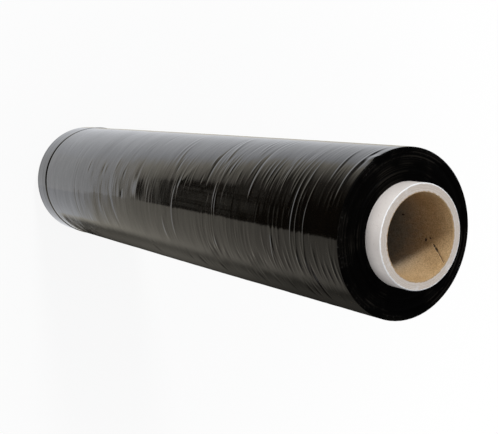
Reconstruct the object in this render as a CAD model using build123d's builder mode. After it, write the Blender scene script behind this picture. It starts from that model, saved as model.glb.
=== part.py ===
from build123d import *
import os
from math import cos, radians, sin

# A hand roll of stretch wrap: plastic film wound on a spiral-wound paper core.
# It stands on its lower core end, with the roll's axis along +Z and the origin
# at the centre of that end. Lengths are in millimetres, angles in degrees.

# Core
core_bore_diameter = 50.0
core_wall = 5.5
core_projection = 12.0
core_edge_break = 0.4

# Film winding
film_width = 450.0
film_build = 19.5
film_edge_break = 0.8

# Band that the thicker edge of the film builds up at the lower end, and the groove beside it
edge_band_width = 24.0
edge_band_rise = 0.5
groove_width = 1.8
groove_depth = 0.45

# Bands of turns that stand back from each end face, because the film wanders as it is wound
turn_bands = 8
turn_setback = 0.5

# Wrinkles that the winding tension draws round the roll, in pairs of a long and a short one
wrinkle_pairs = 11
wrinkle_height = 0.35
wrinkle_root_depth = 0.3
wrinkle_root_width = 3.2
wrinkle_shortest = 24.0
wrinkle_spread = 34.0
wrinkle_slant = 1.2
wrinkle_buried = 12.0
pair_gap = 3.2
pair_share = 0.7

# Irregular but repeatable steps: each multiple of the golden turn falls in the widest gap left
golden_turn = 137.508

core_bore_radius = core_bore_diameter / 2
core_radius = core_bore_radius + core_wall
core_length = film_width + 2 * core_projection
film_radius = core_radius + film_build
film_bottom = core_projection
film_top = film_bottom + film_width
groove_height = film_bottom + edge_band_width


def wave(step):
    """A share from 0 to 1 that goes up and down irregularly from step to step."""
    return 0.5 + 0.5 * sin(radians(golden_turn * step))


def wrinkle_ring(height, around, half_length, slant):
    """The plane and crest radius of a ring set off the roll's axis, so that it
    breaks through the film over one stretch only."""
    ring_offset = wrinkle_height / (1 - cos(radians(half_length)))
    outward = Vector(cos(radians(around)), sin(radians(around)), 0)
    ring = Plane(outward * ring_offset + Vector(0, 0, height), x_dir=outward, z_dir=(0, 0, 1))
    return ring.rotated((slant, 0, 0)), film_radius + wrinkle_height - ring_offset


with BuildPart() as core_tube:
    with BuildSketch():
        Circle(core_radius)
        Circle(core_bore_radius, mode=Mode.SUBTRACT)
    extrude(amount=core_length)
    chamfer(core_tube.edges().filter_by(GeomType.CIRCLE), core_edge_break)
core_tube.part.label = "core_tube"

with BuildPart() as film_winding:
    with BuildSketch(Plane.XZ) as winding_section:
        with Locations((core_radius, film_bottom)):
            Rectangle(film_build, film_width, align=(Align.MIN, Align.MIN))
            Rectangle(film_build + edge_band_rise, edge_band_width, align=(Align.MIN, Align.MIN))
        chamfer(winding_section.vertices().group_by(Axis.Y)[0].sort_by(Axis.X)[-1], film_edge_break)
        chamfer(winding_section.vertices().group_by(Axis.Y)[-1].sort_by(Axis.X)[-1], film_edge_break)
        with Locations((film_radius, groove_height)):
            Polygon(
                (-groove_depth, 0),
                (edge_band_rise, -groove_width / 2),
                (edge_band_rise, groove_width / 2),
                align=None,
                mode=Mode.SUBTRACT,
            )
        band_width = film_build / (turn_bands + 1)
        for end, end_height in enumerate((film_bottom, film_top)):
            for band in range(turn_bands):
                setback = turn_setback * wave(band + end * turn_bands)
                with Locations((core_radius + band_width * band, end_height)):
                    Rectangle(band_width, 2 * setback, align=(Align.MIN, Align.CENTER), mode=Mode.SUBTRACT)
    revolve(axis=Axis.Z)

    pair_pitch = (film_width - edge_band_width) / (wrinkle_pairs + 1)
    for pair in range(wrinkle_pairs):
        pair_height = groove_height + pair_pitch * (pair + 1)
        slant = wrinkle_slant * (2 * wave(2 * pair) - 1)
        for side, share in ((-1, 1.0), (1, pair_share)):
            height = pair_height + side * pair_gap / 2
            half_length = share * (wrinkle_shortest + wrinkle_spread * wave(pair))
            ring, crest_radius = wrinkle_ring(height, golden_turn * pair, half_length, slant)
            sweep_angle = 2 * (half_length + wrinkle_buried)
            start = ring.rotated((0, 0, -sweep_angle / 2))
            with BuildSketch(Plane(start.origin, x_dir=start.x_dir, z_dir=-start.y_dir)):
                with Locations((crest_radius, 0)):
                    Polygon(
                        (0, 0),
                        (-wrinkle_height - wrinkle_root_depth, wrinkle_root_width / 2),
                        (-wrinkle_height - wrinkle_root_depth, -wrinkle_root_width / 2),
                        align=None,
                    )
            revolve(axis=Axis(ring.origin, ring.z_dir), revolution_arc=sweep_angle)
film_winding.part.label = "film_winding"

os.makedirs("parts", exist_ok=True)
export_step(core_tube.part, "parts/core_tube.step")
export_step(film_winding.part, "parts/film_winding.step")
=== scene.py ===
from math import pi, radians, sin

import bpy
import numpy as np
from mathutils import Matrix, Vector


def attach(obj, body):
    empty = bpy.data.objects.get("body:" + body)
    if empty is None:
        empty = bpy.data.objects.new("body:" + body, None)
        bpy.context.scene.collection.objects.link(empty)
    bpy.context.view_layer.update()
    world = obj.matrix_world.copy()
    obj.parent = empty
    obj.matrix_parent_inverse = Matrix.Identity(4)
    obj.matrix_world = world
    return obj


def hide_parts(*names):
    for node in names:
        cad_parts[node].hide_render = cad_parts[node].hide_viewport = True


# A roll of black stretch film on a paper core, standing on one end of the core. Lengths are in
# millimetres and angles in degrees until a mesh is made. "Around" is the angle round the roll's
# axis: 0 faces -Y, the camera's side, and it grows towards -X, which is up in the picture.

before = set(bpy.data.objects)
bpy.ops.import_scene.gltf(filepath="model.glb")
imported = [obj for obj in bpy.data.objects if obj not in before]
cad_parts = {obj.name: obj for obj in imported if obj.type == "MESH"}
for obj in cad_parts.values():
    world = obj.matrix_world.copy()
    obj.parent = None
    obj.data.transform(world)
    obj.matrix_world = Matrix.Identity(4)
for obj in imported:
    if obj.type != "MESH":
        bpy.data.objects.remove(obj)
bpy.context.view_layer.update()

MM = 0.001

# Sizes of the solids
CORE_BORE_RADIUS = 25.0
CORE_WALL = 5.5
CORE_PROJECTION = 12.0
CORE_EDGE = 0.4
FILM_WIDTH = 450.0
FILM_BUILD = 19.5
FILM_EDGE = 0.8
CORE_RADIUS = CORE_BORE_RADIUS + CORE_WALL
CORE_LENGTH = FILM_WIDTH + 2 * CORE_PROJECTION
FILM_RADIUS = CORE_RADIUS + FILM_BUILD
FILM_BOTTOM = CORE_PROJECTION

# The band that the film's thicker edge builds up at the lower end, the wavy groove beside it, and
# how much fuller the roll is in the middle of its width
EDGE_BAND_WIDTH = 24.0
EDGE_BAND_RISE = 0.3
BAND_TAPER = 0.2
BAND_SLOPE = 2.0
GROOVE_DEPTH = 0.06
GROOVE_SPREAD = 0.95
GROOVE_SWING = 2.0
SWINGS_ROUND = 2
GROOVE_WOBBLE = 0.4
WOBBLES_ROUND = 3
WOBBLE_SHIFT = 2.1
FILM_CROWN = 0.35

# Bands of turns that stand back from each end face by up to the setback, in irregular steps from
# the golden turn, how they drift round the roll, and the ripples from turn to turn: height, rate
# along the radius and shift
TURN_BANDS = 8
TURN_SETBACK = 0.5
TURN_BLEND = 0.12
SETBACK_DRIFT = 0.25
DRIFT_TWIST = 0.35
TURN_RIPPLES = ((0.05, 9.1, 0.0), (0.03, 5.3, 1.0))
GOLDEN_TURN = 137.508

# Edges of a mesh that turn by more than this stay sharp
SHARP_ANGLE = 38

# Mesh density of the film: rows lie closer towards the upper end and columns closer in front
FRONT_COLUMNS = 80
BACK_COLUMNS = 40
FILM_ROWS = 690
COARSE_STEP = 0.9
FINE_STEP = 0.42
END_RINGS = 34

# Mesh density of the core. The columns beside the seam and the tear are given by their distance
# from the seam, with a margin in degrees to the plain ones. Outside, close rows run on a little
# under the film, and wide steps start and end further in. The bore's rows are stretches of depth
# below the upper end, with a step each.
SEAM_APPROACH = (-2.4, -1.2)
TEAR_COLUMNS = (0.95, 4.9, 0.4)
COLUMN_MARGIN = 1.5
PLAIN_COLUMNS = 180
CUT_END_RINGS = 24
OUTSIDE_STEP = 0.7
UNDER_FILM = 1
HIDDEN_STEP = 5.0
HIDDEN_START = 4
HIDDEN_END = 3
BORE_STRETCHES = (
    (CORE_EDGE, 6, 0.4),
    (6, 26, 0.6),
    (26, 50, 0.9),
    (50, 130, 2.0),
    (130, 440, 4.0),
    (440, CORE_LENGTH - CORE_EDGE, 1.2),
)

# The wrinkles that stand out: height above the film's lower edge where the wrinkle starts,
# the two angles around that it runs between, how far it climbs per degree, its half width
# and its rise (a dent where negative)
WRINKLES = (
    (5.0, 75, -70, 0.0, 1.40, -0.07),
    (10.5, 40, -60, -0.02, 1.10, 0.05),
    (15.0, 70, 5, 0.03, 1.60, -0.07),
    (21.5, 100, 78, 0.0, 1.80, 0.55),
    (44.0, 23, 14, 0.0, 0.80, -0.05),
    (49.5, 42, 24, 0.0, 0.90, -0.04),
    (79.5, 40, 16, 0.0, 0.90, -0.04),
    (85.5, 20, 9, 0.0, 0.80, -0.05),
    (90.5, 58, -68, 0.0, 1.00, -0.04),
    (111.0, 22, 5, 0.0, 0.80, 0.08),
    (113.5, 20, 6, 0.0, 0.70, -0.05),
    (141.0, 18, 8, 0.0, 0.90, -0.08),
    (144.0, 18, 8, 0.0, 0.70, 0.07),
    (157.0, 8, -42, -0.22, 1.60, -0.07),
    (159.0, 56, 32, 0.0, 0.80, -0.04),
    (162.0, 25, 13, 0.0, 0.70, 0.06),
    (180.5, 15, 8, 0.0, 0.90, -0.06),
    (182.0, -5, -10, 0.0, 0.80, -0.10),
    (183.5, 34, 27, 0.0, 0.90, -0.06),
    (204.0, 34, -12, 0.0, 1.20, -0.03),
    (205.0, 9, -9, 0.0, 4.00, 0.15),
    (211.5, 66, 42, 0.0, 0.90, -0.09),
    (214.0, -50, -70, 0.0, 1.30, -0.26),
    (246.0, 66, 28, -0.05, 0.78, 0.13),
    (248.5, -18, -46, 0.0, 1.14, 0.12),
    (250.5, 70, 24, -0.08, 0.78, 0.16),
    (252.5, 68, 42, 0.0, 0.78, -0.12),
    (259.5, 34, 17, 0.0, 0.62, -0.09),
    (264.5, 4, -46, 0.035, 0.90, 0.12),
    (268.0, -47, -60, 0.0, 0.80, -0.26),
    (281.0, 26, -1, 0.68, 1.30, 0.09),
    (283.0, -50, -66, 0.0, 1.10, -0.28),
    (297.0, 19, 11, 0.0, 0.52, -0.08),
    (300.0, 39, 27, 0.0, 0.52, 0.10),
    (304.5, 68, 10, 0.0, 0.78, -0.16),
    (307.5, 68, 32, -0.2, 0.78, 0.28),
    (309.0, -31, -48, -0.12, 0.81, 0.21),
    (310.5, -34, -68, 0.0, 0.91, -0.28),
    (313.5, -33, -49, -0.12, 0.60, -0.19),
    (317.5, 16, -12, -0.05, 0.52, 0.12),
    (319.0, -26, -46, 0.0, 0.81, 0.20),
    (320.5, 12, -12, -0.05, 0.52, 0.14),
    (326.0, -35, -49, -0.12, 0.75, 0.20),
    (327.0, 33, 22, 0.0, 0.52, 0.10),
    (333.0, 62, 42, 0.0, 0.78, -0.10),
    (340.0, 68, 44, -0.1, 0.78, 0.20),
    (343.5, -34, -48, -0.12, 0.60, -0.18),
    (344.5, 64, 42, -0.06, 0.65, 0.19),
    (351.0, 40, 20, 0.0, 0.52, 0.10),
    (355.0, 70, 4, -0.03, 0.65, -0.13),
    (357.0, -36, -66, -0.05, 0.90, -0.28),
    (358.0, 24, 4, -0.03, 0.52, 0.11),
    (361.0, -34, -66, 0.0, 0.78, -0.24),
    (362.5, -33, -49, -0.12, 0.75, 0.20),
    (367.5, 38, 17, 0.0, 0.47, 0.07),
    (369.0, -32, -46, -0.12, 0.65, -0.18),
    (371.0, 5, -11, 0.06, 0.52, 0.07),
    (372.0, 38, 18, 0.0, 0.47, 0.08),
    (373.5, -35, -64, -0.08, 0.65, -0.21),
    (376.0, -12, -34, -0.1, 0.55, 0.12),
    (376.5, 40, 16, 0.0, 0.47, 0.09),
    (379.5, -26, -42, -0.12, 0.58, 0.17),
    (385.5, -9, -40, -0.08, 0.51, 0.13),
    (386.5, -12, -44, 0.06, 0.54, 0.17),
    (388.5, 37, 7, -0.05, 0.47, 0.10),
    (389.0, -34, -66, -0.06, 0.65, -0.20),
    (390.5, -13, -46, -0.1, 0.55, 0.13),
    (394.0, -11, -26, 0.0, 0.46, 0.09),
    (396.0, 52, 40, 0.0, 0.65, -0.10),
    (397.0, -24, -47, -0.12, 0.55, 0.14),
    (400.0, -12, -38, -0.12, 0.46, 0.10),
    (406.5, 46, -46, 0.0, 0.52, 0.14),
    (408.0, -44, -68, -0.05, 0.80, -0.30),
    (408.5, -11, -47, -0.1, 0.55, 0.14),
    (411.5, 46, -44, 0.01, 0.47, 0.12),
    (413.0, -20, -46, -0.1, 0.55, -0.06),
    (415.0, -42, -66, -0.05, 0.80, -0.28),
    (415.5, -14, -48, -0.12, 0.58, 0.17),
    (419.5, 35, -48, 0.02, 0.52, 0.14),
    (422.0, -28, -50, -0.12, 0.59, -0.16),
    (423.0, -36, -66, -0.08, 0.80, -0.28),
    (425.5, -13, -46, -0.12, 0.55, 0.14),
    (427.5, 62, 26, -0.05, 0.65, 0.19),
    (430.0, -15, -34, -0.1, 0.51, -0.05),
    (432.0, 42, 26, 0.0, 0.47, 0.08),
    (432.0, -26, -44, -0.12, 0.58, 0.17),
    (435.0, 40, 22, 0.0, 0.47, 0.09),
    (436.5, -24, -48, -0.12, 0.63, 0.17),
    (441.0, 72, 10, 0.0, 0.72, 0.22),
    (441.0, -14, -48, -0.12, 0.58, 0.17),
    (444.5, 66, 32, 0.0, 0.65, -0.13),
    (445.5, -20, -48, -0.1, 0.51, 0.14),
)

# How wrinkles run. They die away towards their ends by a power, so the overrun lengthens them.
# The reach is how far their flanks are followed, in half widths, and the meander how far their
# line wanders, at a rate along it and with a shift from one to the next. A skew above one makes
# the lower flank the gentle one, and a skew below one the upper flank.
WRINKLE_OVERRUN = 1.15
WRINKLE_POWER = 1.2
WRINKLE_REACH = 4
WRINKLE_MEANDER = 0.15
MEANDER_RATE = 9
MEANDER_SHIFT = 40
RIDGE_SKEW = 0.6
DENT_SKEW = 1.5

# Unevenness of the winding, coarse to fine: its step along the axis and round it, and its rise
MOTTLE = ((38, 120, 0.05), (17, 60, 0.03), (9, 14, 0.015), (4, 7, 0.006))
MOTTLE_SEED = 43

# Combs of short wrinkles side by side, drawn at random between the limits given and crowded
# towards the upper end. Below the heights of their growth they have only a share of their rise,
# a smaller one within an angle of the front.
COMBS = 420
COMB_SEED = 36
COMB_LOWEST = EDGE_BAND_WIDTH + 3
COMB_SPAN = FILM_WIDTH - EDGE_BAND_WIDTH - 5
COMB_CROWDING = 0.75
COMB_HALF_LENGTHS = (7, 20)
COMB_CLIMB_SPREAD = 0.03
COMB_SKEWS = (0.55, 0.8)
COMB_COUNTS = (2, 6)
COMB_RAGGEDNESS = (-5, 5)
COMB_HALF_WIDTHS = (0.45, 0.75)
COMB_RISES = (0.013, 0.065)
COMB_STEPS = (2.2, 5.5)
COMB_MEANDER = 0.2
COMB_GROWTH = (220, 320)
COMB_FRONT = 40.0
COMB_FRONT_SHARE = 0.3
COMB_BACK_SHARE = 0.7

# A fold that stands up at the upper edge: it starts and is full at distances below that edge
CORNER_FOLD_AROUND = 50.0
CORNER_FOLD_SPREAD = 1.9
CORNER_FOLD_RISE = 0.9
CORNER_FOLD_START = 9
CORNER_FOLD_FULL = 1

# The spiral seam of the core's plies, inside and out: its angle around at the upper end, and the
# degrees that it turns for each millimetre of height. In the bore it is a thin line near that
# end, with two gaps further in (depth and spread), and then it is closed.
# Where the bore's seam gapes, its faces get dark paper: painted shade in the gap.
SEAM_AT_TOP = -149.1
SEAM_TURN = 1.6485
SEAM_DEPTH = 0.5
SEAM_OUTSIDE_DEPTH = 0.18
SEAM_HALF_WIDTH = 0.38
SEAM_CLOSED_SHARE = 0.08
SEAM_THIN_SHARE = 0.5
SEAM_THIN_START = (1.2, 1.8)
SEAM_THIN_END = (9.5, 10.5)
SEAM_GAPS = ((11.0, 0.9), (13.8, 0.5))
SEAM_GAP_OPENING = 1.3

# Marks in the bore: depth below the upper end and angle around
BORE_SPECKS = ((40.5, 152.5), (20.9, -178.4), (21.2, -176.3), (17.2, 179.0))
TEAR_START = (1.6, -151.7)
TEAR_END = (3.3, -145.4)
SPECK_LENGTH = 0.5
MARK_HALF_WIDTH = 0.35
MARK_DEPTH_SHARE = 0.7
# Faces of the bore marked more than this get dark paper: painted shade in the seam's gap, and the specks
DARK_FROM = 0.42

# Unevenness of the core's paper: how far it swells, in how many lobes that twist along it, and
# the height of its tooth. The outside is set in a little, so that most of it stays within the
# solid, and the plies of the cut ends stand back by steps.
CORE_SEED = 23
OUTSIDE_INSET = 0.05
OUTSIDE_SWELL = 0.04
OUTSIDE_LOBES = 3
OUTSIDE_TWIST = 0.3
OUTSIDE_TOOTH = 0.02
BORE_SWELL = 0.03
BORE_LOBES = 2
BORE_TWIST = 0.21
BORE_TOOTH = 0.012
PLY_STEP = 0.05
PLY_RATE = 7.3

# Where nearly all values of a noise texture lie. Limits further down are the values of such a
# texture between which a mark sets in, and a strength is how much of it shows.
NOISE_RANGE = (0.3, 0.7)

# Film: colours, textures in cycles a metre across the axis and along it, and gloss, which is
# lower on the edge band
FILM_DARK = (0.0008, 0.0006, 0.0004, 1)
FILM_PALE = (0.0024, 0.0015, 0.0008, 1)
FILM_STREAKS = (30, 30, 1900)
FILM_SHADES = (14, 14, 160)
FILM_BLOTCHES = (170, 170, 420)
FILM_HAZE = (40, 40, 420)
FILM_ROUGHNESS = (0.05, 0.11)
FILM_GLOSS = (0.4, 0.6)
FILM_IOR = 1.5
BAND_GLOSS = 0.78
BAND_GLOSS_EDGE = 6.0

# Ends of the film: dark turns, turns that shine a little in patches, and turns worn near the rim
# between two radii. Textures are in cycles a metre.
TURN_DARK = (0.0005, 0.0004, 0.0003, 1)
TURN_SHINE = (0.012, 0.0104, 0.0085, 1)
TURN_WORN = (0.02, 0.019, 0.018, 1)
TURN_RATE = 950.0
TURN_PATCHES = 55.0
TURN_SCUFFS = (800, 800, 90)
SHINE_TURN_LIMITS = (0.46, 0.66)
SHINE_PATCH_LIMITS = (0.47, 0.64)
SCUFF_LIMITS = (0.6, 0.72)
SCUFF_PATCH_LIMITS = (0.42, 0.6)
TURN_ROUGHNESS = (0.42, 0.6)
TURN_GLOSS = 0.02
RIM_WEAR = (40.0, 49.0)

# Paper: a pale and a dark colour for each kind, textures in cycles a metre, and the roughness of
# the cut ends and the bore
OUTSIDE_PAPER = ((0.71, 0.665, 0.63, 1), (0.63, 0.585, 0.55, 1))
RIM_PAPER = ((0.9, 0.9, 0.9, 1), (0.82, 0.82, 0.82, 1))
# The seam's paper is dark: painted shade for the gap where the seam stands open, also used for the
# specks
SEAM_SHADE_PAPER = ((0.07, 0.05, 0.035, 1), (0.03, 0.022, 0.016, 1))
FLECK_SHADE = (0.62, 0.58, 0.54, 1)
PAPER_DRIFT = 70.0
PAPER_FIBRES = 900.0
PAPER_FLECKS = 1.3 * PAPER_FIBRES
FIBRE_STRETCH = (1.0, 1.0, 0.45)
FIBRE_LIMITS = (0.35, 0.65)
FIBRE_STRENGTH = 0.45
FLECK_LIMITS = (0.66, 0.74)
FLECK_STRENGTH = 0.35
ROUGHNESS_SPREAD = 0.06
RAW_ROUGHNESS = (0.8, 0.92)
PAPER_GLOSS = 0.3

# Cut ends of the core: grey board between a brown inner liner and a white outer one, whose edges
# are distances from the bore and from the outside. Plies are in cycles a millimetre.
BOARD_DARK = (0.60, 0.525, 0.455, 1)
BOARD_PALE = (0.70, 0.63, 0.565, 1)
BOARD_BLOTCH = (0.77, 0.74, 0.72, 1)
INNER_LINER = (0.42, 0.28, 0.14, 1)
OUTER_LINER = (0.86, 0.86, 0.86, 1)
INNER_LINER_EDGE = (0.9, 0.5)
OUTER_LINER_EDGE = (0.85, 0.5)
BOARD_FRAY = 900.0
BOARD_FRAY_REACH = (-0.3, 0.3)
BOARD_BLOTCHES = 130.0
BLOTCH_LIMITS = (0.52, 0.74)
BLOTCH_STRENGTH = 0.7
BOARD_PLIES = 2.6
PLY_LIMITS = (0.35, 0.65)

# Bore of the core, which turns darker and grey between two depths from either end: painted shade deep in
# the bore
BORE_DARK = (0.57, 0.38, 0.19, 1)
BORE_PALE = (0.66, 0.46, 0.25, 1)
BORE_SHADE_GREY = (0.39, 0.370, 0.332, 1)
BORE_SHADE_DEPTHS = (12.0, 52.0)
BORE_GRAIN = 1300.0
GRAIN_SHADE = (0.68, 0.64, 0.58, 1)
GRAIN_LIMITS = (0.4, 0.65)

# Plain colours
WHITE = (1, 1, 1, 1)
BLACK = (0, 0, 0, 1)

# Camera fitted to the outlines of the roll in the photograph
CAMERA_PLACE = (0.0, -0.36696, 0.84639)
CAMERA_RIGHT = (-0.17156, 0.81841, 0.54843)
CAMERA_UP = (-0.98512, -0.13656, -0.10438)
CAMERA_FORWARD = (0.01053, 0.55818, -0.82965)
CAMERA_LENS = 66.689
CAMERA_SENSOR = 36.0
CAMERA_NEAR = 0.01

# Lamps, in metres and watts: a small one for the shadow in the bore and a wide one in front
KEY_AIM = (0, 0, CORE_LENGTH * MM)
KEY_DIRECTION = (-1.37, -0.42, 1.0)
KEY_DISTANCE = 1.5
KEY_SIZE = 0.28
KEY_POWER = 16.0
FILL_AIM = (0, 0, 0.4)
FILL_DIRECTION = (0.15, -1.0, -0.05)
FILL_DISTANCE = 1.6
FILL_SIZE = 1.2
FILL_POWER = 15.5

# Floor, in metres. Its whiteness is a ramp: two distances from the middle and the shares there.
FLOOR_HALF = 6.0
FLOOR_GREY = (0.85, 0.85, 0.85, 1)
FLOOR_WHITENESS = (0.05, 0.7, 0.9, 1.0)

# The studio that the film mirrors lies below the floor. Side angles there are the same as
# "around", and tilts grow from straight down. Each row of two or four numbers is a ramp: where
# it starts and ends and, where they aren't 0 and 1, its values there. A slope leans an edge.
# Left, right and top are as the film shows them. First comes a bright backdrop, whose fade moves
# as the tilt grows, with a dark doorway that has something dim in it.
FADE_ONSET = (24.5, 28.5)
FADE_TILT = (28.5, 36.5)
FADE_AT_FIRST = (-30.0, 84.0)
FADE_AT_LAST = (36.0, 112.0)
FADE_LEAST = 0.1
BACKDROP_SLOPE = (90.0, 150.0, 1.32, 1.04)
BACKDROP_RIM = (146.0, 172.0, 1.0, 0.42)
DOORWAY_LEFT = (28.0, 28.4)
DOORWAY_LEFT_SLOPE = 0.008
DOORWAY_TOP_SLOPE = 3.5
DOORWAY_TOP_SHARP = (-75.0, -82.0)
DOORWAY_TOP_SOFT = (-81.0, -122.0)
DOORWAY_SOFTENING = (31.5, 35.0)
DOORWAY_DARK = 0.015
DIM_TOP = (-86.0, -93.0)
DIM_RIGHT = (34.7, 34.0)
DIM_RIGHT_SLOPE = 0.064
DIM_LEFT = (29.2, 29.8)
CLUTTER_SCALE = 28.0
CLUTTER_LIGHT = (0.38, 0.62, 0.0, 0.2)

# Then a pale table, with the roll's shadow along it and the light that is left in that shadow
TABLE_LIGHT = (21.8, 27.0, 1.15, 0.69)
TABLE_FALL = (27.5, 39.0, 1.0, 0.62)
TABLE_LIFT = (8.0, 20.5, 1.5, 1.0)
SHADOW_EDGE = (-109.0, -88.0)
SHADOW_UNDER = (-160.0, -118.0, 0.27, 1.0)
SHADOW_END = (19.9, 20.7)
SHADOW_END_SLOPE = -0.024
SHADOW_LIGHT = (30.0, 38.0, 0.34, 0.2)
SHADOW_LIGHT_RISE = (22.3, 30.0, 0.42, 1.1)
SHADOW_LIGHT_END = (20.7, 22.0, 0.15, 1.0)

# Light surroundings are cool and dark ones warm
COOL = (0.97, 0.99, 1.035, 1)
WARM = (1.0, 0.94, 0.81, 1)
BACKDROP_TINT = (0.98, 1.42)
BACKDROP_TINT_LIFT = (40.0, 120.0, 1.0, 1.35)
TABLE_TINT = (0.75, 1.1)

# The side angle where the table meets the backdrop, its bend, and the dark straight down
HORIZON = (-24.0, -21.7)
HORIZON_BEND = (22.0, 25.5, 12.0, 0.0)
NADIR_DARK = (9.0, 16.0, 0.92, 0.0)

# At wider tilts soft boxes in a grey room, each with its middle and half width, and grey sky above
ROOM_START = (41.5, 50.0)
ROOM_LIGHT = 0.1
ROOM_DARK_SHARE = 0.03
SOFT_BOXES = ((62.0, 24.0), (-66.0, 17.0), (178.0, 26.0))
SOFT_BOX_BLUR = 5
SOFT_BOX_LIGHT = 3.2
SOFT_BOX_FOOT = (50.0, 65.0)
SOFT_BOX_HEAD = (86.0, 80.0)
SKY_START = (-0.02, 0.06)
SKY_GREY = (0.34, 0.35, 0.37, 1)


def wave(step):
    """A share from 0 to 1 that goes up and down irregularly from step to step."""
    return 0.5 + 0.5 * sin(radians(GOLDEN_TURN * step))


def smooth_step(value, low, high):
    """A share that goes smoothly from 0 to 1 between two values."""
    share = np.clip((value - low) / (high - low), 0.0, 1.0)
    return share * share * (3 - 2 * share)


def bell(distance, spread=1.0):
    """A share that is 1 at no distance and dies away on both sides."""
    return np.exp(-0.5 * (distance / spread) ** 2)


def within_half_turn(angle):
    """The same angle, between -180 and 180."""
    return (angle + 180) % 360 - 180


def film_heights():
    """Heights of the mesh's rows above the film's lower edge."""
    steps = np.linspace(COARSE_STEP, FINE_STEP, FILM_ROWS)
    share = np.concatenate([[0.0], np.cumsum(steps)]) / steps.sum()
    return FILM_EDGE + (FILM_WIDTH - 2 * FILM_EDGE) * share


def film_columns():
    """Angles around of the mesh's columns."""
    front = np.linspace(-90, 90, FRONT_COLUMNS, endpoint=False)
    back = np.linspace(90, 270, BACK_COLUMNS, endpoint=False)
    return np.concatenate([front, back])


def add_wrinkle(relief, heights, around, wrinkle, skew, meander):
    """Adds one wrinkle to the relief, swelling and dying away along its length."""
    start, first, last, climb, half_width, rise = wrinkle
    middle = (first + last) / 2
    half_length = WRINKLE_OVERRUN * abs(first - last) / 2
    offset = within_half_turn(around - middle)
    columns = np.nonzero(np.abs(offset) < half_length)[0]
    if not len(columns):
        return
    run = offset[columns]
    wander = meander * np.sin(np.radians(run * MEANDER_RATE + start * MEANDER_SHIFT))
    line = start + climb * (middle + run - first) + wander
    reach = WRINKLE_REACH * half_width * max(skew, 1 / skew)
    low, high = np.searchsorted(heights, (line.min() - reach, line.max() + reach))
    swell = np.cos(run / half_length * pi / 2) ** WRINKLE_POWER
    across = (heights[low:high, None] - line[None, :]) / half_width
    across = np.where(across < 0, across / skew, across * skew)
    relief[low:high, columns] += rise * swell[None, :] * bell(across)


def patches(random, heights, around, height_step, turn_step):
    """Smooth noise over the film, about one in size, that closes on itself round the roll."""
    rows = int(FILM_WIDTH / height_step) + 2
    columns = round(360 / turn_step)
    values = random.normal(size=(rows, columns))
    up = heights / height_step
    along = around % 360 / turn_step
    row = up.astype(int)
    column = along.astype(int) % columns
    next_column = (column + 1) % columns
    up_share = smooth_step(up % 1, 0, 1)[:, None]
    along_share = smooth_step(along % 1, 0, 1)[None, :]

    def between_columns(level):
        return level[:, column] * (1 - along_share) + level[:, next_column] * along_share

    return between_columns(values[row]) * (1 - up_share) + between_columns(values[row + 1]) * up_share


def winding_mottle(heights, around):
    """Unevenness of the winding, at each row and column."""
    random = np.random.default_rng(MOTTLE_SEED)
    relief = np.zeros((len(heights), len(around)))
    for height_step, turn_step, size in MOTTLE:
        relief += size * patches(random, heights, around, height_step, turn_step)
    return relief


def add_combs(relief, heights, around):
    """Adds the combs of short wrinkles to the relief."""
    random = np.random.default_rng(COMB_SEED)
    for _ in range(COMBS):
        start = COMB_LOWEST + COMB_SPAN * random.uniform() ** COMB_CROWDING
        middle = random.uniform(-180, 180)
        half_length = random.uniform(*COMB_HALF_LENGTHS)
        climb = random.normal(0, COMB_CLIMB_SPREAD)
        skew = random.choice(COMB_SKEWS)
        faint = COMB_FRONT_SHARE if abs(middle) < COMB_FRONT else COMB_BACK_SHARE
        for _ in range(random.integers(*COMB_COUNTS)):
            first = middle + half_length + random.uniform(*COMB_RAGGEDNESS)
            last = middle - half_length + random.uniform(*COMB_RAGGEDNESS)
            half_width = random.uniform(*COMB_HALF_WIDTHS)
            rise = random.uniform(*COMB_RISES)
            rise *= faint + (1 - faint) * smooth_step(start, *COMB_GROWTH)
            wrinkle = (start, first, last, climb, half_width, rise)
            add_wrinkle(relief, heights, around, wrinkle, skew, COMB_MEANDER)
            start += random.uniform(*COMB_STEPS)


def add_edge_band(relief, height, turn):
    """Adds the raised band at the lower end and the groove beside it, whose line is wavy."""
    groove_line = EDGE_BAND_WIDTH - GROOVE_SWING * np.cos(SWINGS_ROUND * turn)
    groove_line = groove_line + GROOVE_WOBBLE * np.sin(WOBBLES_ROUND * turn + WOBBLE_SHIFT)
    band = 1 - smooth_step(height, groove_line - BAND_SLOPE, groove_line)
    relief += band * (EDGE_BAND_RISE + BAND_TAPER * (height / EDGE_BAND_WIDTH - 0.5))
    relief -= GROOVE_DEPTH * bell(height - groove_line, GROOVE_SPREAD)


def corner_fold(height, around):
    """How far the fold at the upper edge stands up."""
    fold = CORNER_FOLD_RISE * bell(around - CORNER_FOLD_AROUND, CORNER_FOLD_SPREAD)[None, :]
    return fold * smooth_step(height, FILM_WIDTH - CORNER_FOLD_START, FILM_WIDTH - CORNER_FOLD_FULL)


def film_relief(heights, around):
    """How far the film's surface stands above its plain radius, at each row and column."""
    relief = winding_mottle(heights, around)
    add_combs(relief, heights, around)
    for wrinkle in WRINKLES:
        skew = RIDGE_SKEW if wrinkle[-1] > 0 else DENT_SKEW
        add_wrinkle(relief, heights, around, wrinkle, skew, WRINKLE_MEANDER)
    height = heights[:, None]
    add_edge_band(relief, height, np.radians(around)[None, :])
    relief += FILM_CROWN * (1 - (2 * height / FILM_WIDTH - 1) ** 2)
    return relief + corner_fold(height, around)


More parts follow.
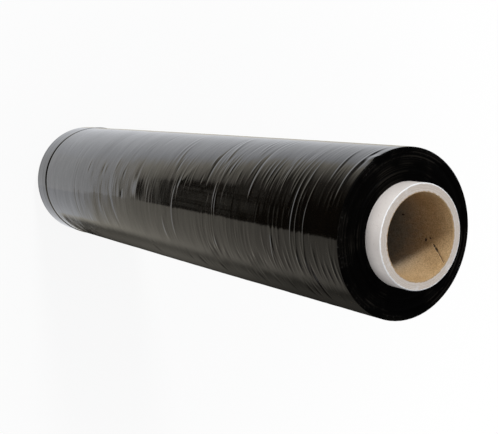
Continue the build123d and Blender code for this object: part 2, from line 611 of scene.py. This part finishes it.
def end_setback(radius, end, around):
    """How far the turns at a radius stand back from an end face, 0 the lower and 1 the upper."""
    band_width = FILM_BUILD / (TURN_BANDS + 1)
    share = (radius - CORE_RADIUS) / band_width
    level = 0.0
    for band in range(TURN_BANDS):
        step = TURN_SETBACK * wave(band + end * TURN_BANDS)
        inner = smooth_step(share, band - TURN_BLEND, band + TURN_BLEND)
        outer = smooth_step(share, band + 1 - TURN_BLEND, band + 1 + TURN_BLEND)
        inside = inner * (1 - outer)
        level = level + step * inside
    ripple = sum(height * np.sin(radius * rate + shift + end) for height, rate, shift in TURN_RIPPLES)
    drift = 1 + SETBACK_DRIFT * np.sin(np.radians(around) + radius * DRIFT_TWIST + end)
    return np.maximum(level * drift + ripple, 0.0)


def ring(radius, height, around):
    """Points round the axis, given a radius and a height for each."""
    turn = np.radians(around)
    radius = np.broadcast_to(radius, turn.shape)
    height = np.broadcast_to(height, turn.shape)
    return np.stack([-radius * np.sin(turn), -radius * np.cos(turn), height], axis=1)


def lathe_faces(count, columns):
    """Corners of the four-sided faces between each ring and the next, and the last and the first."""
    row = np.arange(count)[:, None]
    column = np.arange(columns)[None, :]
    next_row = (row + 1) % count
    next_column = (column + 1) % columns
    corners = [
        row * columns + column,
        row * columns + next_column,
        next_row * columns + next_column,
        next_row * columns + column,
    ]
    return np.stack(corners, axis=2).reshape(-1, 4)


def build_lathe(name, rings, slots, materials):
    """A closed mesh whose section runs through the rings in turn and back to the first.
    slots gives the material of the strip after each ring, or of each face in it."""
    points = np.concatenate(rings) * MM
    columns = len(rings[0])
    faces = lathe_faces(len(rings), columns)
    face_slots = np.stack([np.broadcast_to(slot, columns) for slot in slots])
    mesh = bpy.data.meshes.new(name)
    mesh.vertices.add(len(points))
    mesh.vertices.foreach_set("co", points.astype(np.float32).ravel())
    mesh.loops.add(faces.size)
    mesh.loops.foreach_set("vertex_index", faces.astype(np.int32).ravel())
    mesh.polygons.add(len(faces))
    mesh.polygons.foreach_set("loop_start", np.arange(0, faces.size, 4, dtype=np.int32))
    mesh.polygons.foreach_set("loop_total", np.full(len(faces), 4, dtype=np.int32))
    mesh.polygons.foreach_set("material_index", face_slots.astype(np.int32).ravel())
    mesh.update(calc_edges=True)
    mesh.validate()
    for material in materials:
        mesh.materials.append(material)
    mesh.polygons.foreach_set("use_smooth", np.ones(len(faces), bool))
    mesh.set_sharp_from_angle(angle=radians(SHARP_ANGLE))
    piece = bpy.data.objects.new(name, mesh)
    bpy.context.scene.collection.objects.link(piece)
    return piece


class Nodes:
    """Builds a node tree from short calls."""

    def __init__(self, tree):
        self.tree = tree
        tree.nodes.clear()

    def add(self, kind, inputs=(), **settings):
        """A new node, with values or links for its sockets by name or number."""
        node = self.tree.nodes.new(kind)
        for name, value in settings.items():
            setattr(node, name, value)
        for key, value in dict(inputs).items():
            self.set(node, key, value)
        return node

    def set(self, node, key, value):
        socket = node.inputs[key]
        if isinstance(value, bpy.types.NodeSocket):
            self.tree.links.new(value, socket)
        else:
            socket.default_value = value

    def math(self, operation, first, second=0.0):
        return self.add("ShaderNodeMath", {0: first, 1: second}, operation=operation).outputs[0]

    def times(self, product, *factors):
        for factor in factors:
            product = self.math("MULTIPLY", product, factor)
        return product

    def leaning(self, value, other, slope):
        """A value less a slope times another, whose level lines lean."""
        return self.math("SUBTRACT", value, self.times(other, slope))

    def ramp(self, value, low, high, to_low=0.0, to_high=1.0, kind="SMOOTHSTEP"):
        node = self.add(
            "ShaderNodeMapRange",
            {"Value": value, "From Min": low, "From Max": high, "To Min": to_low, "To Max": to_high},
            interpolation_type=kind,
        )
        return node.outputs["Result"]

    def moving_ramp(self, value, share, first, second):
        """A ramp whose two ends move from the first pair to the second as a share grows."""
        low, high = [self.mix(share, *ends) for ends in zip(first, second)]
        return self.ramp(value, low, high)

    def mix(self, share, first, second):
        # Sockets 2 and 3 of this node mix numbers, and 6 and 7 mix colours
        return self.add("ShaderNodeMix", {0: share, 2: first, 3: second}).outputs[0]

    def colour(self, share, first, second, blend="MIX"):
        inputs = {0: share, 6: first, 7: second}
        return self.add("ShaderNodeMix", inputs, data_type="RGBA", blend_type=blend).outputs[2]

    def noise(self, vector, scale, detail=3.0, roughness=0.55):
        node = self.add(
            "ShaderNodeTexNoise",
            {"Vector": vector, "Scale": scale, "Detail": detail, "Roughness": roughness},
        )
        return node.outputs["Fac"]

    def layers(self, distance, rate, detail):
        """Noise that changes along one distance only, as wound turns and plies do."""
        inputs = {"W": self.times(distance, rate), "Scale": 1.0, "Detail": detail}
        return self.add("ShaderNodeTexNoise", inputs, noise_dimensions="1D").outputs["Fac"]

    def stretched(self, vector, scale):
        return self.add("ShaderNodeMapping", {"Vector": vector, "Scale": scale}).outputs["Vector"]

    def parts(self, vector):
        return self.add("ShaderNodeSeparateXYZ", {0: vector}).outputs

    def radius(self, place):
        """Distance from the roll's axis."""
        x, y, _ = self.parts(place)
        squares = self.math("ADD", self.math("POWER", x, 2.0), self.math("POWER", y, 2.0))
        return self.math("SQRT", squares)

    def bump(self, height, strength, distance, normal=None):
        inputs = {"Height": height, "Strength": strength, "Distance": distance}
        if normal is not None:
            inputs["Normal"] = normal
        return self.add("ShaderNodeBump", inputs).outputs["Normal"]


def new_material(name):
    """A material with its nodes, its shader and the place on the object that textures use."""
    material = bpy.data.materials.new(name)
    material.use_nodes = True
    nodes = Nodes(material.node_tree)
    shader = nodes.add("ShaderNodeBsdfPrincipled")
    nodes.add("ShaderNodeOutputMaterial", {"Surface": shader.outputs["BSDF"]})
    place = nodes.add("ShaderNodeTexCoord").outputs["Object"]
    return material, nodes, shader, place


def film_side_material():
    """Glossy black film, with streaks round the roll from the way it is wound."""
    material, nodes, shader, place = new_material("film_side")
    streaks = nodes.noise(nodes.stretched(place, FILM_STREAKS), 1.0, detail=2.0)
    shades = nodes.noise(nodes.stretched(place, FILM_SHADES), 1.0)
    blotches = nodes.noise(nodes.stretched(place, FILM_BLOTCHES), 1.0)
    haze = nodes.noise(nodes.stretched(place, FILM_HAZE), 1.0, detail=4.0, roughness=0.6)
    nodes.set(shader, "Base Color", nodes.colour(shades, FILM_DARK, FILM_PALE))
    nodes.set(shader, "Roughness", nodes.ramp(streaks, *NOISE_RANGE, *FILM_ROUGHNESS))
    _, _, height = nodes.parts(place)
    band_top = FILM_BOTTOM + EDGE_BAND_WIDTH
    band_gloss = nodes.ramp(height, (band_top - BAND_GLOSS_EDGE) * MM, band_top * MM, BAND_GLOSS, 1.0)
    gloss = nodes.ramp(haze, *NOISE_RANGE, *FILM_GLOSS)
    nodes.set(shader, "Specular IOR Level", nodes.times(gloss, band_gloss))
    shader.inputs["IOR"].default_value = FILM_IOR
    fine = nodes.bump(streaks, strength=0.05, distance=0.00006)
    nodes.set(shader, "Normal", nodes.bump(blotches, strength=0.14, distance=0.00008, normal=fine))
    return material


def film_end_material():
    """The edges of the turns, which take in nearly all light. In patches some of them shine a
    little, and near the rim some are scuffed."""
    material, nodes, shader, place = new_material("film_end")
    across = nodes.radius(place)
    turns = nodes.layers(across, TURN_RATE, detail=2.0)
    cloud = nodes.noise(place, TURN_PATCHES)
    shine = nodes.times(nodes.ramp(turns, *SHINE_TURN_LIMITS), nodes.ramp(cloud, *SHINE_PATCH_LIMITS))
    tone = nodes.colour(shine, TURN_DARK, TURN_SHINE)
    scratches = nodes.noise(nodes.stretched(place, TURN_SCUFFS), 1.0, detail=2.0, roughness=0.6)
    scuffs = nodes.ramp(scratches, *SCUFF_LIMITS)
    wear_start, wear_end = RIM_WEAR
    near_rim = nodes.ramp(across, wear_start * MM, wear_end * MM)
    worn = nodes.times(scuffs, near_rim, nodes.ramp(cloud, *SCUFF_PATCH_LIMITS))
    nodes.set(shader, "Base Color", nodes.colour(worn, tone, TURN_WORN))
    nodes.set(shader, "Roughness", nodes.ramp(turns, *NOISE_RANGE, *TURN_ROUGHNESS))
    shader.inputs["Specular IOR Level"].default_value = TURN_GLOSS
    nodes.set(shader, "Normal", nodes.bump(turns, strength=0.4, distance=0.0001))
    return material


def paper_material(name, colours, roughness, tooth):
    """Uncoated paper: a tone that drifts, short fibres, dark flecks and a slight tooth."""
    material, nodes, shader, place = new_material(name)
    pale, dark = colours
    drift = nodes.noise(place, PAPER_DRIFT, detail=4.0)
    fibres = nodes.noise(nodes.stretched(place, FIBRE_STRETCH), PAPER_FIBRES, detail=4.0, roughness=0.65)
    flecks = nodes.ramp(nodes.noise(place, PAPER_FLECKS, detail=1.0), *FLECK_LIMITS)
    tone = nodes.colour(nodes.ramp(drift, *NOISE_RANGE), dark, pale)
    tone = nodes.colour(nodes.ramp(fibres, *FIBRE_LIMITS, 0.0, FIBRE_STRENGTH), tone, dark)
    shade = nodes.colour(1.0, tone, FLECK_SHADE, "MULTIPLY")
    nodes.set(shader, "Base Color", nodes.colour(nodes.times(flecks, FLECK_STRENGTH), tone, shade))
    spread = (roughness - ROUGHNESS_SPREAD, roughness + ROUGHNESS_SPREAD)
    nodes.set(shader, "Roughness", nodes.ramp(fibres, *NOISE_RANGE, *spread))
    shader.inputs["Specular IOR Level"].default_value = PAPER_GLOSS
    nodes.set(shader, "Normal", nodes.bump(fibres, strength=0.5, distance=tooth))
    return material


def cut_end_material():
    """The cut plies of the core: grey board between a white outer liner and a brown inner one."""
    material, nodes, shader, place = new_material("core_cut_end")
    fray = nodes.noise(place, BOARD_FRAY)
    across = nodes.times(nodes.radius(place), 1 / MM)
    frayed = nodes.ramp(fray, *NOISE_RANGE, *BOARD_FRAY_REACH, "LINEAR")
    across = nodes.math("ADD", across, frayed)
    plies = nodes.layers(across, BOARD_PLIES, detail=1.0)
    blotches = nodes.noise(place, BOARD_BLOTCHES, detail=4.0, roughness=0.6)
    inner = nodes.ramp(across, *[CORE_BORE_RADIUS + edge for edge in INNER_LINER_EDGE])
    outer = nodes.ramp(across, *[CORE_RADIUS - edge for edge in OUTER_LINER_EDGE])
    board = nodes.colour(nodes.ramp(plies, *PLY_LIMITS), BOARD_DARK, BOARD_PALE)
    blotched = nodes.ramp(blotches, *BLOTCH_LIMITS, 0.0, BLOTCH_STRENGTH)
    board = nodes.colour(blotched, board, BOARD_BLOTCH)
    board = nodes.colour(inner, board, INNER_LINER)
    board = nodes.colour(outer, board, OUTER_LINER)
    nodes.set(shader, "Base Color", board)
    nodes.set(shader, "Roughness", nodes.ramp(fray, *NOISE_RANGE, *RAW_ROUGHNESS))
    shader.inputs["Specular IOR Level"].default_value = PAPER_GLOSS
    rough = nodes.bump(fray, strength=0.5, distance=0.00012)
    nodes.set(shader, "Normal", nodes.bump(plies, strength=0.35, distance=0.0001, normal=rough))
    return material


def bore_material():
    """Brown paper inside the core, with fine grains of darker fibre, and darker and greyer further in as
    painted shade.
    """
    material, nodes, shader, place = new_material("core_bore")
    _, _, height = nodes.parts(place)
    inward = nodes.math("MINIMUM", height, nodes.math("SUBTRACT", CORE_LENGTH * MM, height))
    drift = nodes.noise(place, PAPER_DRIFT, detail=4.0)
    grain = nodes.noise(place, BORE_GRAIN, detail=2.0, roughness=0.7)
    tone = nodes.colour(nodes.ramp(drift, *NOISE_RANGE), BORE_DARK, BORE_PALE)
    # Painted shade: deeper in the bore the paper's colour turns darker and grey
    tone = nodes.colour(nodes.ramp(inward, *[depth * MM for depth in BORE_SHADE_DEPTHS]), tone, BORE_SHADE_GREY)
    shade = nodes.colour(1.0, tone, GRAIN_SHADE, "MULTIPLY")
    nodes.set(shader, "Base Color", nodes.colour(nodes.ramp(grain, *GRAIN_LIMITS), tone, shade))
    nodes.set(shader, "Roughness", nodes.ramp(grain, *NOISE_RANGE, *RAW_ROUGHNESS))
    shader.inputs["Specular IOR Level"].default_value = PAPER_GLOSS
    nodes.set(shader, "Normal", nodes.bump(grain, strength=0.5, distance=0.00008))
    return material


def build_film():
    """The wound film: its lower end, its side from bottom to top and its upper end."""
    around = film_columns()
    heights = film_heights()
    relief = film_relief(heights, around)
    side, end = range(2)
    rings = []
    slots = []
    radii = np.linspace(CORE_RADIUS, FILM_RADIUS - FILM_EDGE, END_RINGS)
    for radius in radii:
        rings.append(ring(radius, FILM_BOTTOM + end_setback(radius, 0, around), around))
        slots.append(end)
    for row, height in enumerate(heights):
        rings.append(ring(FILM_RADIUS + relief[row], FILM_BOTTOM + height, around))
        slots.append(side)
    slots[-1] = end
    for radius in radii[::-1]:
        rings.append(ring(radius, FILM_BOTTOM + FILM_WIDTH - end_setback(radius, 1, around), around))
        slots.append(end)
    return build_lathe("film_roll", rings, slots, [film_side_material(), film_end_material()])


def core_columns():
    """Angles from the core's seam, closer together beside the seam and the tear in the bore."""
    edge = SEAM_HALF_WIDTH
    beside = np.array([*SEAM_APPROACH, -2 * edge, -edge, 0.0, edge, 2 * edge])
    beside = np.degrees(beside / CORE_BORE_RADIUS)
    tear = np.degrees(np.arange(*TEAR_COLUMNS) / CORE_BORE_RADIUS)
    plain = np.linspace(tear[-1] + COLUMN_MARGIN, 360 + beside[0] - COLUMN_MARGIN, PLAIN_COLUMNS)
    return np.concatenate([beside, tear, plain])


def core_around(height, columns):
    """Angles around of the columns at a height: they wind round the core with its plies."""
    return columns + SEAM_AT_TOP + SEAM_TURN * (height - CORE_LENGTH)


def bore_depths():
    """Depths of the bore's rows below the upper end, closer together near the two ends."""
    rows = [np.arange(*stretch) for stretch in BORE_STRETCHES]
    return np.append(np.concatenate(rows), CORE_LENGTH - CORE_EDGE)


def seam_gape(depth):
    """The share by which the bore's seam stands open at a depth."""
    thin = SEAM_THIN_SHARE * smooth_step(depth, *SEAM_THIN_START)
    thin = thin * (1 - smooth_step(depth, *SEAM_THIN_END))
    gaps = sum(bell(depth - middle, spread) for middle, spread in SEAM_GAPS)
    gape = np.maximum(thin, np.minimum(SEAM_GAP_OPENING * gaps, 1.0))
    return SEAM_CLOSED_SHARE + (1 - SEAM_CLOSED_SHARE) * gape


def line_distance(depth, around, start, end):
    """How far points of the bore, given by depth and angle, lie from a straight mark."""
    arc = radians(1) * CORE_BORE_RADIUS
    start_depth, start_around = start
    end_depth, end_around = end
    run = np.array([end_depth - start_depth, (end_around - start_around) * arc])
    beside = within_half_turn(around - start_around) * arc
    away = np.stack([np.full_like(around, depth - start_depth), beside])
    share = np.clip((away * run[:, None]).sum(0) / (run**2).sum(), 0, 1)
    return np.hypot(*(away - share * run[:, None]))


def line_mark(depth, around, start, end):
    """A share from 0 to 1 that marks the points of the bore beside a straight line."""
    return bell(line_distance(depth, around, start, end), MARK_HALF_WIDTH)


def speck_marks(depth, around):
    """A share from 0 to 1 that marks the points of the bore in a speck."""
    marks = np.zeros_like(around)
    for speck_depth, speck_around in BORE_SPECKS:
        start = (speck_depth, speck_around)
        end = (speck_depth + SPECK_LENGTH, speck_around)
        marks = np.maximum(marks, line_mark(depth, around, start, end))
    return marks


def outside_rings(columns, in_seam, random):
    """Rings of the core's outside from bottom to top, few of them where the film hides it."""
    near_end = np.arange(CORE_EDGE, CORE_PROJECTION + UNDER_FILM, OUTSIDE_STEP)
    hidden_top = CORE_LENGTH - CORE_PROJECTION - HIDDEN_END
    hidden = np.arange(CORE_PROJECTION + HIDDEN_START, hidden_top, HIDDEN_STEP)
    for height in np.concatenate([near_end, hidden, CORE_LENGTH - near_end[::-1]]):
        around = core_around(height, columns)
        swell = OUTSIDE_SWELL * np.sin(np.radians(OUTSIDE_LOBES * around) + height * OUTSIDE_TWIST)
        tooth = OUTSIDE_TOOTH * random.normal(size=len(columns))
        seam = SEAM_OUTSIDE_DEPTH * in_seam
        yield ring(CORE_RADIUS - OUTSIDE_INSET + swell + tooth - seam, height, around)


def cut_end_rings(columns, end, inward, radii, random):
    """Rings of a cut end at a height, set back inwards from ply to ply."""
    around = core_around(end, columns)
    for radius in radii:
        fray = PLY_STEP * np.abs(random.normal(size=len(columns)))
        ply = PLY_STEP + PLY_STEP * np.sin(radius * PLY_RATE) + fray
        yield ring(radius, end + inward * ply, around)


def bore_rings(columns, in_seam, random):
    """Each ring of the bore from top to bottom, with the share of dark at its columns, which brings dark
    paper: painted shade where the seam gapes, and the specks.
    """
    for depth in bore_depths():
        height = CORE_LENGTH - depth
        around = core_around(height, columns)
        specks = speck_marks(depth, around)
        tear = line_mark(depth, around, TEAR_START, TEAR_END)
        gape = in_seam * seam_gape(depth)
        swell = BORE_SWELL * np.sin(np.radians(BORE_LOBES * around) + height * BORE_TWIST)
        tooth = BORE_TOOTH * random.normal(size=len(columns))
        sunk = SEAM_DEPTH * np.maximum(gape, MARK_DEPTH_SHARE * np.maximum(specks, tear))
        yield ring(CORE_BORE_RADIUS + swell + tooth + sunk, height, around), np.maximum(gape, specks)


def build_core():
    """The paper core: its outside, upper end, bore and lower end, one after the other."""
    columns = core_columns()
    random = np.random.default_rng(CORE_SEED)
    seam_arc = np.radians(within_half_turn(columns)) * CORE_BORE_RADIUS
    in_seam = bell(seam_arc, SEAM_HALF_WIDTH)
    radii = np.linspace(CORE_RADIUS - CORE_EDGE, CORE_BORE_RADIUS + CORE_EDGE, CUT_END_RINGS)
    outside, cut_end, bore, dark, rim = range(5)

    rings = list(outside_rings(columns, in_seam, random))
    slots = [outside] * len(rings)
    slots[0] = slots[-1] = rim
    rings += cut_end_rings(columns, CORE_LENGTH, -1, radii, random)
    slots += [cut_end] * len(radii)
    for bore_ring, darkness in bore_rings(columns, in_seam, random):
        rings.append(bore_ring)
        # Dark paper where the seam gapes is painted shade in the gap; the specks get it too
        slots.append(np.where(darkness > DARK_FROM, dark, bore))
    rings += cut_end_rings(columns, 0.0, 1, radii[::-1], random)
    slots += [cut_end] * len(radii)
    slots[-1] = rim

    materials = [
        paper_material("core_outside", OUTSIDE_PAPER, roughness=0.8, tooth=0.00005),
        cut_end_material(),
        bore_material(),
        # Dark paper: painted shade in the seam's gap, and the specks
        paper_material("core_seam_shade", SEAM_SHADE_PAPER, roughness=0.9, tooth=0.00006),
        paper_material("core_rim", RIM_PAPER, roughness=0.8, tooth=0.00005),
    ]
    return build_lathe("core_paper", rings, slots, materials)


def world_angles(nodes, x, y, z):
    """The side angle and the tilt of a direction, given by its parts."""
    to_degrees = 180 / pi
    side = nodes.math("ARCTAN2", nodes.times(x, -1.0), nodes.times(y, -1.0))
    tilt = nodes.math("ARCCOSINE", nodes.times(z, -1.0))
    return nodes.times(side, to_degrees), nodes.times(tilt, to_degrees)


def doorway_inside(nodes, direction, side, tilt, top_edge):
    """Brightness in the doorway: dark, with dim clutter in a part of it."""
    clutter = nodes.ramp(nodes.noise(direction, CLUTTER_SCALE, roughness=0.7), *CLUTTER_LIGHT)
    right_edge = nodes.leaning(tilt, side, DIM_RIGHT_SLOPE)
    dim = nodes.times(
        nodes.ramp(top_edge, *DIM_TOP),
        nodes.ramp(right_edge, *DIM_RIGHT),
        nodes.ramp(tilt, *DIM_LEFT),
    )
    return nodes.math("ADD", nodes.times(dim, clutter), DOORWAY_DARK)


def backdrop_light(nodes, direction, side, tilt):
    """Brightness of a backdrop that fades down towards a dark doorway with sharp edges."""
    move = nodes.ramp(tilt, *FADE_TILT, kind="LINEAR")
    faded = nodes.moving_ramp(side, move, FADE_AT_FIRST, FADE_AT_LAST)
    faded = nodes.math("MAXIMUM", faded, FADE_LEAST)
    backdrop = nodes.times(
        nodes.mix(nodes.ramp(tilt, *FADE_ONSET), 1.0, faded),
        nodes.ramp(side, *BACKDROP_SLOPE, "LINEAR"),
        nodes.ramp(side, *BACKDROP_RIM),
    )
    left_edge = nodes.leaning(tilt, side, DOORWAY_LEFT_SLOPE)
    top_edge = nodes.leaning(side, tilt, DOORWAY_TOP_SLOPE)
    softening = nodes.ramp(tilt, *DOORWAY_SOFTENING)
    below_top = nodes.moving_ramp(top_edge, softening, DOORWAY_TOP_SHARP, DOORWAY_TOP_SOFT)
    doorway = nodes.times(nodes.ramp(left_edge, *DOORWAY_LEFT), below_top)
    return nodes.mix(doorway, backdrop, doorway_inside(nodes, direction, side, tilt, top_edge))


def table_light(nodes, side, tilt):
    """Brightness of a pale table with the roll's own shadow along it."""
    table = nodes.times(nodes.ramp(tilt, *TABLE_LIGHT), nodes.ramp(tilt, *TABLE_FALL, "LINEAR"))
    far_end = nodes.leaning(tilt, side, SHADOW_END_SLOPE)
    in_shadow = nodes.times(
        nodes.ramp(tilt, *SHADOW_LIGHT_RISE, "LINEAR"),
        nodes.ramp(tilt, *SHADOW_LIGHT),
        nodes.ramp(far_end, *SHADOW_LIGHT_END),
    )
    shadow = nodes.ramp(side, *SHADOW_EDGE, in_shadow, 1.0)
    shadow = nodes.times(shadow, nodes.ramp(side, *SHADOW_UNDER))
    shadow = nodes.mix(nodes.ramp(far_end, *SHADOW_END), 1.0, shadow)
    return nodes.times(table, shadow, nodes.ramp(tilt, *TABLE_LIFT))


def room_light(nodes, side, tilt):
    """Brightness of a grey room with soft boxes round it."""
    light = ROOM_LIGHT
    for middle, half in SOFT_BOXES:
        away = nodes.math("ABSOLUTE", nodes.math("SUBTRACT", side, middle))
        away = nodes.math("MINIMUM", away, nodes.math("SUBTRACT", 360.0, away))
        box = nodes.ramp(away, half - SOFT_BOX_BLUR, half + SOFT_BOX_BLUR, SOFT_BOX_LIGHT, 0.0)
        light = nodes.math("ADD", light, box)
    height = nodes.times(nodes.ramp(tilt, *SOFT_BOX_FOOT), nodes.ramp(tilt, *SOFT_BOX_HEAD))
    return nodes.times(light, nodes.ramp(height, 0.0, 1.0, ROOM_DARK_SHARE, 1.0, "LINEAR"))


def tinted(nodes, brightness, level, tint):
    """A brightness in colour, from warm to cool as a level goes up a ramp."""
    colour = nodes.colour(nodes.ramp(level, *tint), WARM, COOL)
    return nodes.colour(1.0, colour, brightness, "MULTIPLY")


def build_world():
    """White to the camera, soft grey above for light, and below the floor the studio that the
    film mirrors."""
    world = bpy.data.worlds.new("studio")
    bpy.context.scene.world = world
    world.use_nodes = True
    nodes = Nodes(world.node_tree)
    direction = nodes.add("ShaderNodeTexCoord").outputs["Generated"]
    x, y, z = nodes.parts(direction)
    side, tilt = world_angles(nodes, x, y, z)

    backdrop = backdrop_light(nodes, direction, side, tilt)
    backdrop_level = nodes.times(backdrop, nodes.ramp(side, *BACKDROP_TINT_LIFT, "LINEAR"))
    upper = tinted(nodes, backdrop, backdrop_level, BACKDROP_TINT)
    table = table_light(nodes, side, tilt)
    lower = tinted(nodes, table, table, TABLE_TINT)
    horizon = nodes.math("ADD", side, nodes.ramp(tilt, *HORIZON_BEND))
    mirrored = nodes.colour(nodes.ramp(horizon, *HORIZON), lower, upper)
    mirrored = nodes.colour(nodes.ramp(tilt, *NADIR_DARK), mirrored, BLACK)
    mirrored = nodes.colour(nodes.ramp(tilt, *ROOM_START), mirrored, room_light(nodes, side, tilt))

    light = nodes.colour(nodes.ramp(z, *SKY_START), mirrored, SKY_GREY)
    seen = nodes.add("ShaderNodeLightPath").outputs["Is Camera Ray"]
    colour = nodes.colour(seen, light, WHITE)
    background = nodes.add("ShaderNodeBackground", {"Color": colour, "Strength": 1.0})
    nodes.add("ShaderNodeOutputWorld", {"Surface": background.outputs[0]})


def floor_material():
    """White to the camera, with a share of the floor's own grey near the roll for its shadow."""
    material = bpy.data.materials.new("floor")
    material.use_nodes = True
    nodes = Nodes(material.node_tree)
    matt = nodes.add("ShaderNodeBsdfDiffuse", {"Color": FLOOR_GREY})
    glow = nodes.add("ShaderNodeEmission", {"Color": WHITE, "Strength": 1.0})
    seen = nodes.add("ShaderNodeLightPath").outputs["Is Camera Ray"]
    place = nodes.add("ShaderNodeTexCoord").outputs["Object"]
    distance = nodes.add("ShaderNodeVectorMath", {0: place}, operation="LENGTH").outputs["Value"]
    share = nodes.times(seen, nodes.ramp(distance, *FLOOR_WHITENESS))
    mixed = nodes.add("ShaderNodeMixShader", {0: share, 1: matt.outputs[0], 2: glow.outputs[0]})
    nodes.add("ShaderNodeOutputMaterial", {"Surface": mixed.outputs[0]})
    return material


def build_floor():
    """A plain pale floor, which the film doesn't mirror."""
    half = FLOOR_HALF
    corners = [(-half, -half, 0), (half, -half, 0), (half, half, 0), (-half, half, 0)]
    mesh = bpy.data.meshes.new("floor")
    mesh.from_pydata(corners, [], [(0, 1, 2, 3)])
    mesh.materials.append(floor_material())
    floor = bpy.data.objects.new("floor", mesh)
    bpy.context.scene.collection.objects.link(floor)
    floor.visible_glossy = False


def build_light(name, aim, direction, distance, size, power):
    """A round lamp that shines on the aim from a direction."""
    data = bpy.data.lights.new(name, "AREA")
    data.shape = "DISK"
    data.size = size
    data.energy = power
    lamp = bpy.data.objects.new(name, data)
    towards = Vector(direction).normalized()
    lamp.location = Vector(aim) + towards * distance
    lamp.rotation_mode = "QUATERNION"
    lamp.rotation_quaternion = towards.to_track_quat("Z", "Y")
    bpy.context.scene.collection.objects.link(lamp)
    return lamp


def build_camera():
    """A camera at the fitted place, turned so that the roll lies as it does in the photograph."""
    data = bpy.data.cameras.new("camera")
    data.sensor_fit = "HORIZONTAL"
    data.sensor_width = CAMERA_SENSOR
    data.lens = CAMERA_LENS
    data.clip_start = CAMERA_NEAR
    camera = bpy.data.objects.new("camera", data)
    bpy.context.scene.collection.objects.link(camera)
    back = -Vector(CAMERA_FORWARD)
    turn = Matrix((Vector(CAMERA_RIGHT), Vector(CAMERA_UP), back)).transposed().to_4x4()
    camera.matrix_world = Matrix.Translation(CAMERA_PLACE) @ turn
    bpy.context.scene.camera = camera


film = build_film()
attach(film, "root")
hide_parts("film_winding")

core = build_core()
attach(core, "root")
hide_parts("core_tube")

build_camera()
build_floor()
build_world()
build_light("key", KEY_AIM, KEY_DIRECTION, KEY_DISTANCE, KEY_SIZE, KEY_POWER)
fill = build_light("fill", FILL_AIM, FILL_DIRECTION, FILL_DISTANCE, FILL_SIZE, FILL_POWER)
fill.visible_glossy = False

bpy.context.scene.view_settings.view_transform = "Standard"
